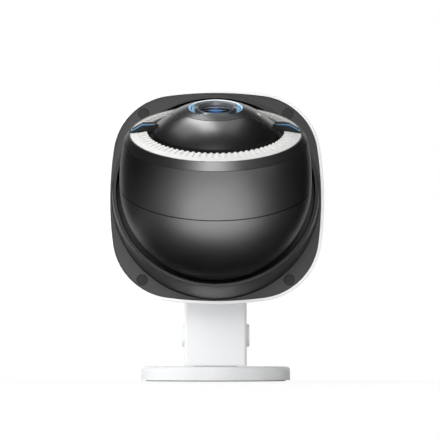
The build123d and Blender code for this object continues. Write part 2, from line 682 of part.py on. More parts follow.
def make_pan_ring():
    """Flange with a tapered collar, cut on a slant: deep below the head, shallow above it."""
    far = COLLAR_LOW_EDGE + 4
    taper = (COLLAR_BASE_R - COLLAR_LIP_R) / COLLAR_LOW_EDGE
    lip_out = COLLAR_LIP_R + COLLAR_LIP_WALL
    out_taper = (PAN_RING_R - lip_out) / COLLAR_LOW_EDGE
    wall = turned_polygon(
        (COLLAR_BASE_R, 0),
        (PAN_RING_R, 0),
        (PAN_RING_R - out_taper * far, far),
        (COLLAR_BASE_R - taper * far, far),
    )
    slant = math.degrees(math.atan(collar_slope()))
    beyond = 4 * HOUSING_HALF
    wall -= Pos(0, 0, COLLAR_SIDE_EDGE) * Rot(-slant, 0, 0) * Box(beyond, beyond, beyond, align=BOTTOM)
    rim_edges = [e for e in wall.edges() if e.center().Z > COLLAR_LIP_WALL]
    wall = fillet(rim_edges, COLLAR_LIP_WALL * 0.3)
    flange = ring(COLLAR_BASE_R, PAN_RING_R, -PAN_FLANGE_T, 0)
    ledge = ring(PAN_LEDGE_R, COLLAR_BASE_R + 1, -PAN_FLANGE_T, -PAN_FLANGE_T + PAN_LEDGE_T)
    body = flange + ledge + wall
    hole = disc(CASE_SCREW_R + SCREW_BORE, -PAN_FLANGE_T - 1, -PAN_FLANGE_T + PAN_LEDGE_T - PAN_LEDGE_SKIN)
    return body - at_spots(hole, pan_screw_spots())


def pan_screw_spots():
    """Screws that clamp the cup and the retaining ring behind the panning ring."""
    circle_r = (PAN_LEDGE_R + TRACK_INNER_R) / 2
    angles = [math.radians(30 + 60 * k) for k in range(6)]
    return [(circle_r * math.cos(a), circle_r * math.sin(a)) for a in angles]


def make_pan_cup():
    """Black bowl behind the head, concentric with it, on a flange."""
    inner = HEAD_R + CUP_GAP
    outer = inner + CUP_WALL
    top = -PAN_FLANGE_T
    bowl = Pos(0, 0, HEAD_FORWARD) * Sphere(outer)
    bowl += disc(CUP_BOSS_R, NECK_SEAT, NECK_SEAT + CUP_BOSS_T + 2)
    bowl += disc(TRACK_INNER_R - RUNNING, top - CUP_FLANGE_T, top)
    bowl -= Pos(0, 0, HEAD_FORWARD) * Sphere(inner)
    bowl -= disc(2 * HOUSING_HALF, top, 3 * HEAD_FORWARD)
    bowl -= disc(NECK_R + BORE, NECK_SEAT - 1, 0)
    bowl -= at_spots(disc(CASE_SCREW_R + SNUG, top - CUP_FLANGE_T - 1, 1), pan_screw_spots())
    return bowl


def make_pan_retainer():
    """Ring behind the fascia that keeps the panning ring in its track."""
    high = -PAN_FLANGE_T - CUP_FLANGE_T
    low = high - RETAINER_T
    body = ring(PAN_LEDGE_R, RETAINER_R, low, high)
    return body - at_spots(disc(CASE_SCREW_R + SNUG, low - 1, high + 1), pan_screw_spots())


def make_pan_screws():
    """Screws through the retaining ring and the cup into the panning ring."""
    seat = -PAN_FLANGE_T - CUP_FLANGE_T - RETAINER_T
    length = RETAINER_T + CUP_FLANGE_T + PAN_LEDGE_T - PAN_LEDGE_SKIN - SNUG
    one = Pos(0, 0, seat) * Rot(180, 0, 0) * screw(CASE_SCREW_HEAD_R, 1.3, CASE_SCREW_R, length)
    return Compound(children=at_spots(one, pan_screw_spots()))


def make_neck():
    """Hollow neck from the cup to the tilt hub in the middle of the head."""
    seat = NECK_SEAT
    neck = disc(NECK_R, seat, HEAD_FORWARD)
    neck += disc(NECK_FLANGE_R, seat - NECK_FLANGE_T, seat)
    neck -= disc(NECK_BORE_R, seat + 6, HEAD_FORWARD)
    neck += Pos(0, 0, HEAD_FORWARD) * Rot(0, 90, 0) * Cylinder(HUB_R, HUB_W)
    neck -= Pos(0, 0, HEAD_FORWARD) * Rot(0, 90, 0) * Cylinder(AXLE_R + BORE, 2 * HUB_W)
    side_door = Pos(0, 0, seat + 8) * Rot(90, 0, 0) * Cylinder(NECK_BORE_R * 0.8, NECK_R * 1.2)
    neck -= side_door
    return neck - disc(PAN_SHAFT_R + BORE, seat - NECK_FLANGE_T - 1, seat + 4)


def make_pan_shaft():
    """Output shaft of the pan motor, fixed in the neck."""
    return disc(PAN_SHAFT_R, PAN_MOTOR_LOW + 3 + RUNNING, NECK_SEAT + 4)


def make_tilt_axle():
    """Steel axle fixed in the neck's hub, on which the head tilts."""
    low = -(HUB_W / 2 + AXLE_OVERHANG)
    high = HUB_W / 2 + AXLE_OVERHANG + TILT_MOTOR_L * 0.6
    return Pos(0, 0, HEAD_FORWARD) * Rot(0, 90, 0) * disc(AXLE_R, low, high)


# Head, in its own frame


def barrel_arc(inset):
    """Side of the barrel, bulging to full width at the seam, moved inwards by a wall."""
    rise = BARREL_TOP_Z - HEAD_SEAM_Z
    fall = HEAD_R - BARREL_TOP_R
    start_z = HEAD_SEAM_Z + HEAD_SEAM_GAP / 2
    mid_z = (start_z + BARREL_TOP_Z) / 2
    mid_r = HEAD_R - fall * ((mid_z - HEAD_SEAM_Z) / rise) ** 2
    low = (HEAD_R - inset, start_z)
    return ThreePointArc(low, (mid_r - inset, mid_z), (BARREL_TOP_R - inset, BARREL_TOP_Z))


def make_head_barrel():
    """Front half of the head's skin, with a spigot for the rear cap and a ledge for the chassis."""
    outer = barrel_arc(0)
    inner = barrel_arc(HEAD_WALL)
    barrel = turned(outer, Line(outer @ 1, inner @ 1), inner, Line(inner @ 0, outer @ 0))
    spigot_out = HEAD_R - HEAD_WALL - SNUG
    spigot = ring(spigot_out - HEAD_WALL, spigot_out, HEAD_SEAM_Z - 4, HEAD_SEAM_Z + 4)
    spigot_join = ring(spigot_out - HEAD_WALL, HEAD_R - HEAD_WALL / 2, HEAD_SEAM_Z + 1, HEAD_SEAM_Z + 4)
    ledge_inner = CHASSIS_SCREW_CIRCLE_R - 2 * CASE_SCREW_R
    ledge = ring(ledge_inner, BARREL_TOP_R, CHASSIS_Z - 3, CHASSIS_Z)
    holes = at_spots(disc(CASE_SCREW_R + SCREW_BORE, 0, CHASSIS_Z + 1), chassis_screw_spots())
    return barrel + spigot + spigot_join + ledge - holes


def make_rear_cap():
    """Round back of the head, with a slot through which the neck reaches the hub."""
    cap = Sphere(HEAD_R) - Sphere(HEAD_R - HEAD_WALL)
    cap -= disc(2 * HEAD_R, HEAD_SEAM_Z - HEAD_SEAM_GAP / 2, 2 * HEAD_R)
    side = 4 * HEAD_R
    neck_room = NECK_R + 1.0
    margin = NECK_SLOT_MARGIN + math.degrees(math.asin(NECK_R / HEAD_R))
    low = HEAD_RAISED - NECK_TILT_DOWN
    high = HEAD_RAISED + NECK_TILT_UP
    slot_box = Box(2 * neck_room, side, side)
    above = Rot(high + margin, 0, 0) * Box(side, side, side, align=UPPER_HALF)
    below = Rot(low - margin, 0, 0) * Box(side, side, side, align=LOWER_HALF)
    front = Box(side, side, side, align=BOTTOM)
    return cap - (slot_box - above - below - front)


def make_seam_ring():
    """Dark rubber ring in the seam between barrel and rear cap."""
    spigot_out = HEAD_R - HEAD_WALL - SNUG
    low = HEAD_SEAM_Z - HEAD_SEAM_GAP / 2
    return ring(spigot_out + SNUG, HEAD_R - 0.6, low + BORE, low + HEAD_SEAM_GAP - BORE)


def make_front_bezel():
    """Chamfered ring at the front of the barrel, with a ledge that carries the light."""
    low = BARREL_TOP_Z + BAND_GAP
    ledge_top = BEZEL_TOP_Z - LIGHT_T - 0.2
    foot = CHASSIS_Z + CHASSIS_T
    slope_r = BARREL_TOP_R - BAND_GAP
    return turned_polygon(
        (slope_r, low),
        (BEZEL_TOP_R + BORE + 0.6, BEZEL_TOP_Z),
        (LIGHT_OUTER_R + BORE, BEZEL_TOP_Z),
        (LIGHT_OUTER_R + BORE, ledge_top),
        (LIGHT_OUTER_R - LEDGE_W / 2, ledge_top),
        (LIGHT_OUTER_R - LEDGE_W / 2, foot),
        (LIGHT_OUTER_R + SNUG, foot),
        (LIGHT_OUTER_R + SNUG, low),
    )


def make_light_half(side):
    """Half of the ring light's diffuser, between the two wings."""
    low_outer = BEZEL_TOP_Z - LIGHT_T - 0.2
    high_outer = BEZEL_TOP_Z - 0.1
    mid_r = (LIGHT_OUTER_R + LIGHT_INNER_R) / 2
    mid_rise = LIGHT_INNER_RISE * 0.45
    body = turned_polygon(
        (LIGHT_OUTER_R, low_outer),
        (LIGHT_OUTER_R, high_outer),
        (mid_r, high_outer + mid_rise),
        (LIGHT_INNER_R, high_outer + LIGHT_INNER_RISE),
        (LIGHT_INNER_R, low_outer),
    )
    room = WING_W / 2 + SNUG
    keep = Pos(0, side * room, 0) * Box(
        200, 200, 200, align=UPPER_HALF if side > 0 else LOWER_HALF
    )
    return body & keep


def led_board_top():
    """Height of the light board's front."""
    return BEZEL_TOP_Z - LIGHT_T - 0.2 - LED_HEIGHT - 0.3


def make_led_board():
    """Ring-shaped circuit board behind the diffuser."""
    top = led_board_top()
    outer = LIGHT_OUTER_R - LEDGE_W / 2 - SNUG
    return ring(LIGHT_INNER_R + SNUG, outer, top - LED_BOARD_T, top)


def make_leds():
    """White light emitters on their board."""
    top = led_board_top()
    circle_r = (LIGHT_OUTER_R + LIGHT_INNER_R) / 2
    leds = []
    for k in range(LED_COUNT):
        angle = 360 * (k + 0.5) / LED_COUNT
        led = Pos(circle_r, 0, top) * Box(LED_SIZE, LED_SIZE, LED_HEIGHT, align=BOTTOM)
        leds.append(Rot(0, 0, angle) * led)
    return Compound(children=leds)


def make_light_carrier():
    """Tube under the lens island, with a flange for the light board and the floor of the dark trench."""
    board_low = led_board_top() - LED_BOARD_T
    outer = LIGHT_OUTER_R - LEDGE_W / 2 - SNUG
    tube_out = DOME_EDGE_R - SNUG
    tube = ring(tube_out - DOME_WALL, tube_out, CHASSIS_Z + CHASSIS_T, DOME_FOOT_Z)
    flange = ring(tube_out - SNUG, outer, board_low - 1.6, board_low)
    floor = ring(tube_out - SNUG, LIGHT_INNER_R, board_low - SNUG, led_board_top() - SNUG)
    return tube + flange + floor


def dome_skin(low):
    """The lens island's spherical skin above a height."""
    skin = Pos(0, 0, DOME_CENTRE_Z) * (Sphere(DOME_R) - Sphere(DOME_R - DOME_WALL))
    return skin & disc(DOME_R, low, DOME_R)


def band_zone(gap):
    """The space of the band: a wedge along the tilt axis, widened to a circle round the lens."""
    centre = Pos(0, 0, DOME_CENTRE_Z)
    half = BAND_HALF_ANGLE
    big = 3 * DOME_R
    upper = centre * Rot(-half, 0, 0) * Box(big, big, big, align=LOWER_HALF)
    lower = centre * Rot(half, 0, 0) * Box(big, big, big, align=UPPER_HALF)
    wedge = (Pos(0, gap, 0) * upper) & (Pos(0, -gap, 0) * lower)
    return (wedge & disc(big, 0, big)) + disc(BAND_LENS_R + gap, 0, DOME_R)


def make_lobe(side):
    """Gloss lobe of the lens island above or below the band."""
    half = Box(200, 200, 200, align=UPPER_HALF if side > 0 else LOWER_HALF)
    skin = dome_skin(DOME_FOOT_Z) & half
    return skin - band_zone(BAND_GAP)


def on_dome(part, x, radius):
    """Stand a piece on the dome's skin at a distance from the middle, at a radius of the dome."""
    lean = math.degrees(math.asin(x / DOME_R))
    return Pos(0, 0, DOME_CENTRE_Z) * Rot(0, lean, 0) * Pos(0, 0, radius) * part


def make_face_band():
    """Satin band across the lens island, holed for lens, microphone and light sensor."""
    band = dome_skin(DOME_FOOT_Z) & band_zone(-BAND_GAP)
    band -= disc(SURROUND_R + SNUG, 0, 2 * DOME_R)
    through = 3 * DOME_WALL
    band -= on_dome(Cylinder(MIC_HOLE_R, through), -FACE_HOLE_X, DOME_R)
    return band - on_dome(Cylinder(SENSOR_WINDOW_R + BORE, through), FACE_HOLE_X, DOME_R)


def surround_z():
    """Height of the lens surround's outer edge, flush with the dome."""
    return DOME_CENTRE_Z + math.sqrt(DOME_R**2 - SURROUND_R**2)


def make_lens_surround():
    """Ring round the lens with a stepped slope, lit blue on its sides."""
    top = surround_z()
    low = top - SURROUND_T
    inner = BEZEL_LENS_R + SNUG
    return turned_polygon(
        (inner, low),
        (SURROUND_R, low),
        (SURROUND_R, top - 0.1),
        (SURROUND_R - 0.8, top + 0.15),
        (SURROUND_R - 1.4, top - 0.6),
        (inner + 1.2, top - 0.6),
        (inner, top - 0.2),
    )


def make_lens_bezel():
    """Satin funnel that holds the front glass."""
    top = surround_z() + 0.1
    seat = GLASS_Z + GLASS_EDGE_T
    return turned_polygon(
        (GLASS_R - 1.2, GLASS_Z - 1.2),
        (BEZEL_LENS_R, GLASS_Z - 1.2),
        (BEZEL_LENS_R, top - 0.3),
        (BEZEL_LENS_R - 0.4, top),
        (GLASS_R + SNUG, seat + 0.1),
        (GLASS_R + SNUG, GLASS_Z),
        (GLASS_R - 1.2, GLASS_Z),
    )


def make_lens_glass():
    """Domed front glass."""
    edge = GLASS_Z + GLASS_EDGE_T
    crown = ThreePointArc(
        (-GLASS_R, edge), (0, edge + GLASS_CROWN), (GLASS_R, edge)
    )
    half_crown = crown.trim(0.5, 1)
    return turned(
        half_crown,
        Line((GLASS_R, edge), (GLASS_R, GLASS_Z)),
        Line((GLASS_R, GLASS_Z), (0, GLASS_Z)),
        Line((0, GLASS_Z), (0, edge + GLASS_CROWN)),
    )


def lens_foot():
    """Height of the sensor board's front, where the lens barrel stands."""
    return CHASSIS_Z + CHASSIS_T + 3.4


def make_lens_barrel():
    """Black tube that holds the lens elements over the image sensor."""
    top = GLASS_Z - 1.2
    low = lens_foot()
    barrel = ring(ELEMENT_R + BORE, LENS_BARREL_R, low, top)
    flange_top = top - LENS_BARREL_FLANGE_DROP
    return barrel + ring(
        LENS_BARREL_R - 1, BEZEL_LENS_R + LENS_BEZEL_W, flange_top - LENS_BARREL_FLANGE_T, flange_top
    )


def make_lens_elements():
    """Three glass elements with curved faces, spaced along the barrel."""
    foot = lens_foot()
    length = GLASS_Z - 1.2 - foot
    elements = []
    for share, crown in ((0.88, 0.12), (0.59, 0.09), (0.32, 0.08)):
        low = foot + length * share - ELEMENT_EDGE_T / 2
        edge = low + ELEMENT_EDGE_T
        bulge = ELEMENT_R * crown
        ball_r = (ELEMENT_R**2 + bulge**2) / (2 * bulge)
        dome = Pos(0, 0, edge + bulge - ball_r) * Sphere(ball_r)
        elements.append(disc(ELEMENT_R, low, edge) + (dome & disc(ELEMENT_R, edge, edge + 2 * bulge)))
    return Compound(children=elements)


def make_sensor_board():
    """Small circuit board under the lens, standing on the chassis."""
    low = lens_foot() - SENSOR_BOARD_T
    half = LENS_BARREL_R + SENSOR_BOARD_MARGIN
    board = Pos(0, 0, low) * Box(2 * half, 2 * half, SENSOR_BOARD_T, align=BOTTOM)
    leg_x = half - 2.0
    legs = at_spots(disc(1.6, CHASSIS_Z + CHASSIS_T, low), mirrored_spots(leg_x, leg_x))
    return board + legs


def make_image_sensor():
    """Image sensor chip under the lens elements."""
    return Pos(0, 0, lens_foot()) * Box(IMAGE_SENSOR_W, IMAGE_SENSOR_H, 1.1, align=BOTTOM)


def make_microphone():
    """Microphone capsule behind its hole in the band."""
    low = DOME_R - DOME_WALL - MIC_T
    return on_dome(disc(MIC_R, 0, MIC_T - BORE), -FACE_HOLE_X, low)


def make_light_sensor():
    """Clear window with the light sensor behind it."""
    low = DOME_R - DOME_WALL - 1.2
    window = disc(SENSOR_WINDOW_R, 1.2, 1.2 + DOME_WALL - BORE) + disc(SENSOR_WINDOW_R + 0.8, 0, 1.2 - BORE)
    window += disc(SENSOR_WINDOW_R, 1.2 - 2 * BORE, 1.3)
    return on_dome(window, FACE_HOLE_X, low)


def make_wing(side):
    """Fin that bridges the ring light from the bezel to the lens island."""
    foot = led_board_top() + BORE
    top = BEZEL_TOP_Z + WING_KNEE_RISE
    tip = BEZEL_TOP_Z + WING_TIP_RISE
    outline = Polyline(
        (WING_INNER_X, foot),
        (WING_INNER_X, top + 0.4),
        (WING_KNEE_X, top),
        (WING_TIP_X, tip),
        (WING_TIP_X, foot),
        close=True,
    )
    wing = extrude(Plane.XZ * make_face(outline), WING_W / 2, both=True)
    wing -= ring(LIGHT_OUTER_R - LEDGE_W, 3 * LIGHT_OUTER_R, foot - 1, BEZEL_TOP_Z - LIGHT_T - 0.2)
    room = Pos(0, 0, DOME_CENTRE_Z) * Sphere(DOME_R + SNUG)
    wing -= room
    wing -= disc(DOME_EDGE_R, 0, DOME_FOOT_Z - SNUG)
    wing = max(wing.solids(), key=lambda s: s.volume)
    return wing if side > 0 else mirror(wing, Plane.YZ)


def chassis_screw_spots():
    """Screws that hold the chassis on the barrel's ledge."""
    angles = [math.radians(45 + 90 * k) for k in range(4)]
    return [(CHASSIS_SCREW_CIRCLE_R * math.cos(a), CHASSIS_SCREW_CIRCLE_R * math.sin(a)) for a in angles]


def make_head_chassis():
    """Cast frame of the head: a round plate with two ears for the tilt bushes."""
    top = CHASSIS_Z + CHASSIS_T
    plate = disc(BARREL_TOP_R - HEAD_WALL + 0.6, CHASSIS_Z, top)
    ear_x = HUB_W / 2 + 1.0 + CHASSIS_EAR_T / 2
    ear_h = CHASSIS_Z + CHASSIS_T / 2
    for side in (-1, 1):
        plate += Pos(side * ear_x, 0, 0) * Box(CHASSIS_EAR_T, CHASSIS_EAR_W, ear_h, align=BOTTOM)
        plate += Pos(side * ear_x, 0, 0) * Rot(0, 90, 0) * Cylinder(CHASSIS_EAR_W / 2, CHASSIS_EAR_T)
        plate -= Pos(side * ear_x, 0, 0) * Rot(0, 90, 0) * Cylinder(BUSH_R + BORE, 2 * CHASSIS_EAR_T)
    return plate - at_spots(disc(CASE_SCREW_R + SNUG, 0, top + 1), chassis_screw_spots())


def make_tilt_bushes():
    """Plain bushes in the ears, on which the axle turns."""
    low = HUB_W / 2 + 1.0
    bush = ring(AXLE_R + BORE, BUSH_R, low, low + CHASSIS_EAR_T)
    return Compound(children=[Rot(0, 90, 0) * bush, Rot(0, -90, 0) * bush])


def make_tilt_motor():
    """Tilt motor on the right ear, on the axle."""
    low = HUB_W / 2 + 1.0 + CHASSIS_EAR_T
    can = fillet(disc(TILT_MOTOR_R, low, low + TILT_MOTOR_L).edges().group_by(Axis.Z)[-1], 1.5)
    can -= disc(AXLE_R + BORE, low - 1, low + TILT_MOTOR_L * 0.9)
    return Rot(0, 90, 0) * can


def make_chassis_screws():
    """Four screws from the chassis into the barrel's ledge."""
    one = Pos(0, 0, CHASSIS_Z + CHASSIS_T) * screw(CASE_SCREW_HEAD_R, 1.3, CASE_SCREW_R, CHASSIS_T + 2.8)
    return Compound(children=at_spots(one, chassis_screw_spots()))


# Every piece, written in the order in which the camera is put together

save("foot_plate", make_foot())
save("foot_weight", make_foot_weight())
save("foot_pad", make_foot_pad())
save("hinge_washers", make_hinge_washers())

save("bracket_arm", make_arm())
save("arm_cover", make_arm_cover())
save("arm_screws", make_arm_screws())
save("hinge_bolt", make_hinge_bolt())
save("hinge_nut", make_hinge_nut())
save("hinge_caps", make_hinge_caps())

save("rear_shell", make_rear_shell(), FRONT)
save("fascia", make_fascia(), FRONT)
save("case_seal", make_case_seal(), FRONT)
save("case_screws", make_case_screws(), FRONT)
save("screw_plugs", make_screw_plugs(), FRONT)
save("glide_ring", make_glide_ring(), FRONT)
save("main_board", make_main_board(), FRONT)
save("board_chips", make_board_chips(), FRONT)
save("board_sleeves", make_board_sleeves(), FRONT)
save("board_screws", make_board_screws(), FRONT)
save("motor_plate", make_motor_plate(), FRONT)
save("pan_motor", make_pan_motor(), FRONT)
save("speaker", make_speaker(), FRONT)
save("cable_gland", make_cable_gland(), FRONT)

save("pan_ring", make_pan_ring(), FRONT)
save("pan_cup", make_pan_cup(), FRONT)
save("pan_retainer", make_pan_retainer(), FRONT)
save("pan_screws", make_pan_screws(), FRONT)
save("neck", make_neck(), FRONT)
save("pan_shaft", make_pan_shaft(), FRONT)
save("tilt_axle", make_tilt_axle(), FRONT)

save("head_barrel", make_head_barrel(), HEAD)
save("rear_cap", make_rear_cap(), HEAD)
save("seam_ring", make_seam_ring(), HEAD)
save("front_bezel", make_front_bezel(), HEAD)
save("light_front_half", make_light_half(-1), HEAD)
save("light_rear_half", make_light_half(1), HEAD)
save("led_board", make_led_board(), HEAD)
save("leds", make_leds(), HEAD)
save("light_carrier", make_light_carrier(), HEAD)
save("lower_lobe", make_lobe(-1), HEAD)
save("upper_lobe", make_lobe(1), HEAD)
save("face_band", make_face_band(), HEAD)
save("lens_surround", make_lens_surround(), HEAD)
save("lens_bezel", make_lens_bezel(), HEAD)
save("lens_glass", make_lens_glass(), HEAD)
save("lens_barrel", make_lens_barrel(), HEAD)
save("lens_elements", make_lens_elements(), HEAD)
save("sensor_board", make_sensor_board(), HEAD)
save("image_sensor", make_image_sensor(), HEAD)
save("microphone", make_microphone(), HEAD)
save("light_sensor", make_light_sensor(), HEAD)
save("wing_left", make_wing(-1), HEAD)
save("wing_right", make_wing(1), HEAD)
save("head_chassis", make_head_chassis(), HEAD)
save("tilt_bushes", make_tilt_bushes(), HEAD)
save("tilt_motor", make_tilt_motor(), HEAD)
save("chassis_screws", make_chassis_screws(), HEAD)
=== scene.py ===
import math

import bpy
from mathutils import Matrix, Vector


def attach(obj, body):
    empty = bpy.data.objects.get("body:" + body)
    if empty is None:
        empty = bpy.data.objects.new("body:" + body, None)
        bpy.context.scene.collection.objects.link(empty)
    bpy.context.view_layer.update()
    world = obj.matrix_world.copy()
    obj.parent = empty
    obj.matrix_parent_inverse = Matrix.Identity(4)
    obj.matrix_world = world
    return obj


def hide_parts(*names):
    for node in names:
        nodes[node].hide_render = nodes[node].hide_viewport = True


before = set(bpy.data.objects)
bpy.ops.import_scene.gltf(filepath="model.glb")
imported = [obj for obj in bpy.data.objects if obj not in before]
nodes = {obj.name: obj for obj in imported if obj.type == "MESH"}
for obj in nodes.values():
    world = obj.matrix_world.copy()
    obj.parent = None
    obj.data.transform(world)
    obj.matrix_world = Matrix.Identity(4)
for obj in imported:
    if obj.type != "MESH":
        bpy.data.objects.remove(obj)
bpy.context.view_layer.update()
bpy.ops.object.select_all(action="DESELECT")

# Foot: a die-cast zinc disc with the hinge knuckle on it, powder-coated white. It stands on a pale
# silicone pad and hides a steel weight. Acetal washers give the hinge a smooth, even friction.

MM = 0.001
HANDLED_PATCHES_PER_METRE = 45.0
NOISE_LOW, NOISE_HIGH = 0.3, 0.7


def srgb(code):
    """The linear colour of an sRGB hex code."""
    parts = [int(code[i:i + 2], 16) / 255 for i in (1, 3, 5)]
    return (*[c / 12.92 if c <= 0.04045 else ((c + 0.055) / 1.055) ** 2.4 for c in parts], 1.0)


def add(tree, kind, inputs=None, **settings):
    """Add a shader node. Each input is a value or the output that feeds it."""
    node = tree.nodes.new(kind)
    for field, value in settings.items():
        setattr(node, field, value)
    for socket, value in (inputs or {}).items():
        if isinstance(value, bpy.types.NodeSocket):
            tree.links.new(value, node.inputs[socket])
        else:
            node.inputs[socket].default_value = value
    return node


def finish_for(name, colour, roughness, grain_mm, depth_mm, uneven=0.06, **sockets):
    """A finish with one surface grain: the grain's size and depth, and how uneven its gloss is."""
    material = bpy.data.materials.new(name)
    material.use_nodes = True
    tree = material.node_tree
    shader = tree.nodes["Principled BSDF"]
    place = add(tree, "ShaderNodeTexCoord").outputs["Object"]
    grain = add(tree, "ShaderNodeTexNoise", {"Vector": place, "Scale": 1 / (grain_mm * MM), "Detail": 3.0})
    bump = add(tree, "ShaderNodeBump", {"Height": grain.outputs["Fac"], "Strength": 1.0, "Distance": depth_mm * MM})
    tree.links.new(bump.outputs["Normal"], shader.inputs["Normal"])
    handled = add(tree, "ShaderNodeTexNoise", {"Vector": place, "Scale": HANDLED_PATCHES_PER_METRE, "Detail": 2.0})
    gloss = add(tree, "ShaderNodeMapRange", {
        "Value": handled.outputs["Fac"], "From Min": NOISE_LOW, "From Max": NOISE_HIGH,
        "To Min": roughness - uneven / 2, "To Max": roughness + uneven / 2,
    })
    tree.links.new(gloss.outputs["Result"], shader.inputs["Roughness"])
    shader.inputs["Base Color"].default_value = srgb(colour)
    for socket, value in sockets.items():
        shader.inputs[socket.replace("_", " ")].default_value = value
    return material


def dress(material, *names):
    """Give CAD nodes or new pieces one finish."""
    for name in names:
        piece = nodes.get(name) or bpy.data.objects[name]
        piece.data.materials.clear()
        piece.data.materials.append(material)


# Baked powder is thick and soft-edged, with a slight orange peel that spreads every highlight.
powder_coat = finish_for("powder_coated_white", "#edeeef", 0.42, 0.9, 0.012, Coat_Weight=0.15, Coat_Roughness=0.3)
# Cast silicone is matt and cloudy, so the pad is a quiet pale line under the disc.
pad_silicone = finish_for("silicone_pad_pale_grey", "#d6d8da", 0.7, 0.5, 0.02)
# Bright zinc over steel has a cool shine that its crystals, drawn coarser than real, dull a little.
zinc_steel = finish_for("zinc_plated_steel", "#a9abae", 0.34, 0.25, 0.004, Metallic=1.0)
# Turned acetal is waxy and off-white, with a soft sheen.
acetal = finish_for("acetal_natural", "#e4e1d6", 0.38, 0.6, 0.004)

dress(powder_coat, "foot_plate")
dress(zinc_steel, "foot_weight")
dress(pad_silicone, "foot_pad")
dress(acetal, "hinge_washers")

# Arm: a die-cast channel with the same coat, hinged on a steel bolt through the knuckle. Moulded caps
# cover the bolt's ends, and a moulded plate closes the cable channel at the back.

# Polycarbonate from a spark-eroded tool has a fine satin grain, so its white is soft and even.
white_moulding = finish_for("polycarbonate_white_fine_grain", "#eff0f0", 0.4, 0.35, 0.008)

dress(powder_coat, "bracket_arm")
dress(white_moulding, "arm_cover", "hinge_caps")
dress(zinc_steel, "arm_screws", "hinge_bolt", "hinge_nut")

# Rear shell: one white polycarbonate moulding with the same satin grain. Its thin rim stands round the
# dark front plate. The supply lead's inlet in its back is a rubber grommet, and a rubber seal closes it.

# Moulded nitrile rubber is matt with a dusty bloom, so a seam filled with it shows as a dark line.
nitrile_rubber = finish_for("nitrile_rubber_black", "#141415", 0.72, 0.5, 0.02)

dress(white_moulding, "rear_shell")
dress(nitrile_rubber, "cable_gland", "case_seal")
dress(zinc_steel, "case_screws", "board_screws")

# Front plate: a dark polycarbonate-ABS moulding, held by four screws under push-in plugs. The plugs are
# the same resin from a smoother tool.

# The plate's fine matt grain keeps it a plain dark grey, with only a faint shine near its edge.
front_resin = finish_for("pc_abs_charcoal_fine_grain", "#2a2a2b", 0.46, 0.3, 0.01, IOR=1.5)
# The smoother skin scatters less light than the grain does, so the plugs look a shade darker.
plug_resin = finish_for("pc_abs_charcoal_smooth", "#0f0f10", 0.5, 0.6, 0.004, Specular_IOR_Level=0.35)

dress(front_resin, "fascia")
dress(plug_resin, "screw_plugs")

# Works behind the front plate: boards, motors, loudspeaker and the slippery ring that the panning ring
# runs on. They show only when the case is open, and carry their real materials.

# Lacquered glass epoxy is green with a wet gloss.
solder_mask = finish_for("glass_epoxy_green_solder_mask", "#1d5a3a", 0.32, 1.4, 0.006, Coat_Weight=0.4)
# Moulded epoxy is a flat grey-black.
chip_epoxy = finish_for("moulded_epoxy_black", "#1b1c1e", 0.5, 0.2, 0.006)
# Phosphor in clear resin is pale yellow and a little glossy.
phosphor = finish_for("led_phosphor_yellow", "#f1dc8a", 0.3, 0.4, 0.004)
# Aluminium as it leaves the die is a frosty grey with a broad, weak shine.
cast_alloy = finish_for("cast_aluminium", "#b4b5b7", 0.46, 0.5, 0.02, Metallic=1.0)
# Glass-filled nylon is a dry black that keeps the inside dark.
inner_resin = finish_for("glass_filled_nylon_black", "#0b0b0c", 0.62, 0.3, 0.012)

dress(solder_mask, "main_board", "led_board", "sensor_board")
dress(chip_epoxy, "board_chips", "microphone", "speaker")
dress(phosphor, "leds")
dress(acetal, "board_sleeves", "glide_ring", "tilt_bushes")
dress(zinc_steel, "motor_plate", "pan_motor", "tilt_motor", "pan_shaft", "tilt_axle", "pan_screws", "chassis_screws")
dress(inner_resin, "pan_retainer", "neck", "light_carrier", "lens_barrel")
dress(cast_alloy, "head_chassis")

# Panning ring: the charcoal collar round the head, from the front plate's resin, cut on a slant so the
# lens looks over its low side. It turns with the black cup behind the head. Its inner wall gets the
# cup's flat black as painted shade, so the gap round the head stays dark.

PAN_AXIS_Z = 106.4 * MM
COLLAR_INSIDE = 57.4 * MM
TOWARDS_AXIS = -0.5  # a face looks inwards where its normal's outward share is below this

# Flock is a pile of short black fibres with no highlight at all. On the collar's inner wall it is painted shade.
flocking_and_painted_shade = finish_for("black_flocking", "#060606", 0.9, 0.4, 0.02, Specular_IOR_Level=0.1)

dress(front_resin, "pan_ring")
dress(flocking_and_painted_shade, "pan_cup")
# The collar's faces that look in towards the head get the flat black as painted shade.
nodes["pan_ring"].data.materials.append(flocking_and_painted_shade)
for face in nodes["pan_ring"].data.polygons:
    outward = Vector((face.center.x, 0, face.center.z - PAN_AXIS_Z))
    if outward.length < COLLAR_INSIDE and face.normal.dot(outward.normalized()) < TOWARDS_AXIS:
        face.material_index = 1

# Head: two moulded halves and a chamfered front ring, lacquered charcoal, with a thin rubber ring in
# the seam between the halves.

# A fine metal flake in satin lacquer gives the dark ball its broad soft glow down the middle. The flake
# is drawn coarser than real.
head_lacquer = finish_for("charcoal_metallic_lacquer", "#5c5c5c", 0.46, 0.12, 0.002, Metallic=1.0)
# The same lacquer, smoother on the flat chamfer, and painted a shade lighter there as a painted highlight.
ring_lacquer_painted_highlight = finish_for("charcoal_metallic_lacquer_painted_highlight", "#6c6c6c", 0.42, 0.12, 0.002, Metallic=1.0)

dress(head_lacquer, "head_barrel", "rear_cap")
dress(ring_lacquer_painted_highlight, "front_bezel")
dress(nitrile_rubber, "seam_ring")

# Ring light: an opal polycarbonate ring in two halves. The outer land is plain, and inside it a band of
# moulded cells spreads each emitter's light, so the inner edge looks toothed.

